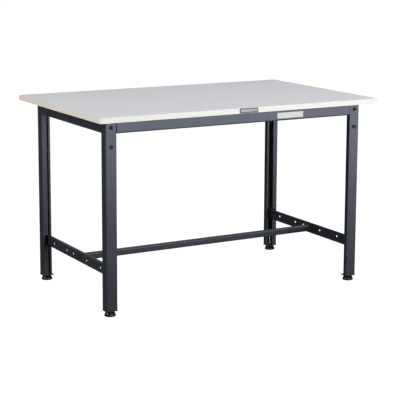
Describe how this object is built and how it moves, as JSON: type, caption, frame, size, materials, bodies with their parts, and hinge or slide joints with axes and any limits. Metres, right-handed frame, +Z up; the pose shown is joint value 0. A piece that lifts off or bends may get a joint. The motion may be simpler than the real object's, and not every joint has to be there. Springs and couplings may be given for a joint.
{
  "type": "workbench",
  "caption": "Light industrial workbench: laminated board on a dark folded-steel frame with an H-shaped lower stretcher and bell-shaped levelling feet.",
  "frame": {"origin": "on the floor, under the middle of the board", "axes": "+X along the long side to the right, +Y to the rear, +Z up; the front is -Y"},
  "size_m": [1.2, 0.7513, 0.74],
  "materials": {
    "laminate_sheet": "fine-grained light grey laminate",
    "board_core": "raw particle board",
    "edge_band": "smooth white edge band",
    "painted_steel": "dark blue-grey powder coat",
    "black_fasteners": "black oxide",
    "zinc_steel": "bright zinc plate",
    "black_pad": "glossy black moulded plastic",
    "plate_grey": "dark grey blank plate",
    "plate_white": "white blank label plate"
  },
  "bodies": {
    "root": {"top_laminate": "laminate_sheet", "top_backer": "laminate_sheet", "top_core": "board_core", "edge_band_front": "edge_band", "edge_band_rear": "edge_band", "edge_band_left": "edge_band", "edge_band_right": "edge_band", "beam_front": "painted_steel", "beam_rear": "painted_steel", "side_rail_upper_left": "painted_steel", "side_rail_upper_right": "painted_steel", "side_rail_lower_left": "painted_steel", "side_rail_lower_right": "painted_steel", "stretcher": "painted_steel", "leg_front_left": "painted_steel", "corner_bracket_front_left": "painted_steel", "foot_plate_front_left": "painted_steel", "top_screw_front_left": "black_fasteners", "beam_bolt_front_left": "black_fasteners", "leg_bolt_front_left_upper": "black_fasteners", "leg_bolt_front_left_lower": "black_fasteners", "foot_nut_front_left": "black_fasteners", "leg_front_right": "painted_steel", "corner_bracket_front_right": "painted_steel", "foot_plate_front_right": "painted_steel", "top_screw_front_right": "black_fasteners", "beam_bolt_front_right": "black_fasteners", "leg_bolt_front_right_upper": "black_fasteners", "leg_bolt_front_right_lower": "black_fasteners", "foot_nut_front_right": "black_fasteners", "leg_rear_left": "painted_steel", "corner_bracket_rear_left": "painted_steel", "foot_plate_rear_left": "painted_steel", "top_screw_rear_left": "black_fasteners", "beam_bolt_rear_left": "black_fasteners", "leg_bolt_rear_left_upper": "black_fasteners", "leg_bolt_rear_left_lower": "black_fasteners", "foot_nut_rear_left": "black_fasteners", "leg_rear_right": "painted_steel", "corner_bracket_rear_right": "painted_steel", "foot_plate_rear_right": "painted_steel", "top_screw_rear_right": "black_fasteners", "beam_bolt_rear_right": "black_fasteners", "leg_bolt_rear_right_upper": "black_fasteners", "leg_bolt_rear_right_lower": "black_fasteners", "foot_nut_rear_right": "black_fasteners", "stretcher_bolt_left": "black_fasteners", "stretcher_nut_left": "black_fasteners", "stretcher_bolt_right": "black_fasteners", "stretcher_nut_right": "black_fasteners", "maker_plate": "plate_grey", "rating_plate": "plate_white"},
    "pad_front_left": {"foot_pad_front_left": "black_pad"},
    "stud_front_left": {"foot_stud_front_left": "zinc_steel"},
    "pad_front_right": {"foot_pad_front_right": "black_pad"},
    "stud_front_right": {"foot_stud_front_right": "zinc_steel"},
    "pad_rear_left": {"foot_pad_rear_left": "black_pad"},
    "stud_rear_left": {"foot_stud_rear_left": "zinc_steel"},
    "pad_rear_right": {"foot_pad_rear_right": "black_pad"},
    "stud_rear_right": {"foot_stud_rear_right": "zinc_steel"}
  },
  "joints": [
    {"name": "pad_height_front_left", "type": "slide", "parent": "root", "child": "pad_front_left", "axis": [0, 0, 1], "range_m": [-0.02, 0]},
    {"name": "stud_turn_front_left", "type": "hinge", "parent": "pad_front_left", "child": "stud_front_left", "pos_m": [-0.5305, -0.299, 0], "axis": [0, 0, 1], "range_deg": [-5760, 0]},
    {"name": "pad_height_front_right", "type": "slide", "parent": "root", "child": "pad_front_right", "axis": [0, 0, 1], "range_m": [-0.02, 0]},
    {"name": "stud_turn_front_right", "type": "hinge", "parent": "pad_front_right", "child": "stud_front_right", "pos_m": [0.5305, -0.299, 0], "axis": [0, 0, 1], "range_deg": [-5760, 0]},
    {"name": "pad_height_rear_left", "type": "slide", "parent": "root", "child": "pad_rear_left", "axis": [0, 0, 1], "range_m": [-0.02, 0]},
    {"name": "stud_turn_rear_left", "type": "hinge", "parent": "pad_rear_left", "child": "stud_rear_left", "pos_m": [-0.5305, 0.286, 0], "axis": [0, 0, 1], "range_deg": [-5760, 0]},
    {"name": "pad_height_rear_right", "type": "slide", "parent": "root", "child": "pad_rear_right", "axis": [0, 0, 1], "range_m": [-0.02, 0]},
    {"name": "stud_turn_rear_right", "type": "hinge", "parent": "pad_rear_right", "child": "stud_rear_right", "pos_m": [0.5305, 0.286, 0], "axis": [0, 0, 1], "range_deg": [-5760, 0]}
  ],
  "couplings": [
    {"joint": "stud_turn_front_left", "follows": "pad_height_front_left", "rad_per_m": 5026.5},
    {"joint": "stud_turn_front_right", "follows": "pad_height_front_right", "rad_per_m": 5026.5},
    {"joint": "stud_turn_rear_left", "follows": "pad_height_rear_left", "rad_per_m": 5026.5},
    {"joint": "stud_turn_rear_right", "follows": "pad_height_rear_right", "rad_per_m": 5026.5}
  ]
}
